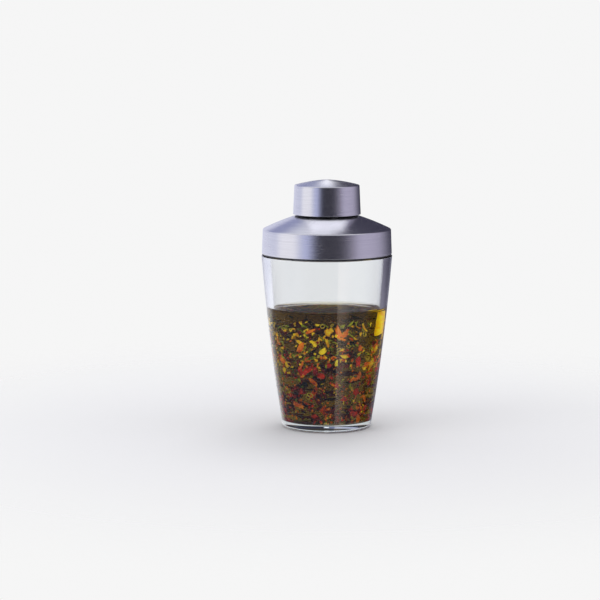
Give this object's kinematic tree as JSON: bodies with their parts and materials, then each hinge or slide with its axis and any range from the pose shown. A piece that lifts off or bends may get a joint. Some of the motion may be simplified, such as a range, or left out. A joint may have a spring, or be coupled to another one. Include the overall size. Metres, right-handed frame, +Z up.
{
  "type": "salad dressing shaker bottle",
  "caption": "Clear tapered beaker with a screw-on brushed steel lid, a drain-back pouring spout and a steel screw cap, for mixing, shaking and pouring salad dressing.",
  "frame": {"origin": "centre of the standing ring under the beaker, on the surface it stands on", "axes": "+Z up along the bottle's axis, +X towards the spout's pouring lip with the lid and cap screwed home"},
  "size_m": [0.0906, 0.0906, 0.1723],
  "materials": {
    "clear_plastic": "gloss",
    "brushed_steel": "satin",
    "black_plastic": "satin",
    "spout_plastic": "satin",
    "silicone": "matte"
  },
  "bodies": {
    "beaker": {"beaker": "clear_plastic"},
    "lid_gasket": {"lid_gasket": "silicone"},
    "lid": {"lid_shell": "brushed_steel", "lid_liner": "black_plastic", "pour_spout": "spout_plastic", "spout_seal": "silicone"},
    "cap_seal": {"cap_seal": "silicone"},
    "cap": {"cap_shell": "brushed_steel", "cap_liner": "black_plastic"}
  },
  "joints": [
    {"name": "lid_lift", "type": "slide", "parent": "beaker", "child": "lid_gasket", "axis": [0, 0, 1], "range_m": [0, 0.018]},
    {"name": "lid_turn", "type": "hinge", "parent": "lid_gasket", "child": "lid", "pos_m": [0, 0, 0.1348], "axis": [0, 0, 1], "range_deg": [0, 540]},
    {"name": "cap_lift", "type": "slide", "parent": "lid", "child": "cap_seal", "axis": [0, 0, 1], "range_m": [0, 0.018]},
    {"name": "cap_turn", "type": "hinge", "parent": "cap_seal", "child": "cap", "pos_m": [0, 0, 0.1619], "axis": [0, 0, 1], "range_deg": [0, 720]}
  ],
  "couplings": [
    {"joint": "lid_lift", "follows": "lid_turn", "m_per_rad": 0.0019098},
    {"joint": "cap_lift", "follows": "cap_turn", "m_per_rad": 0.0014323}
  ]
}
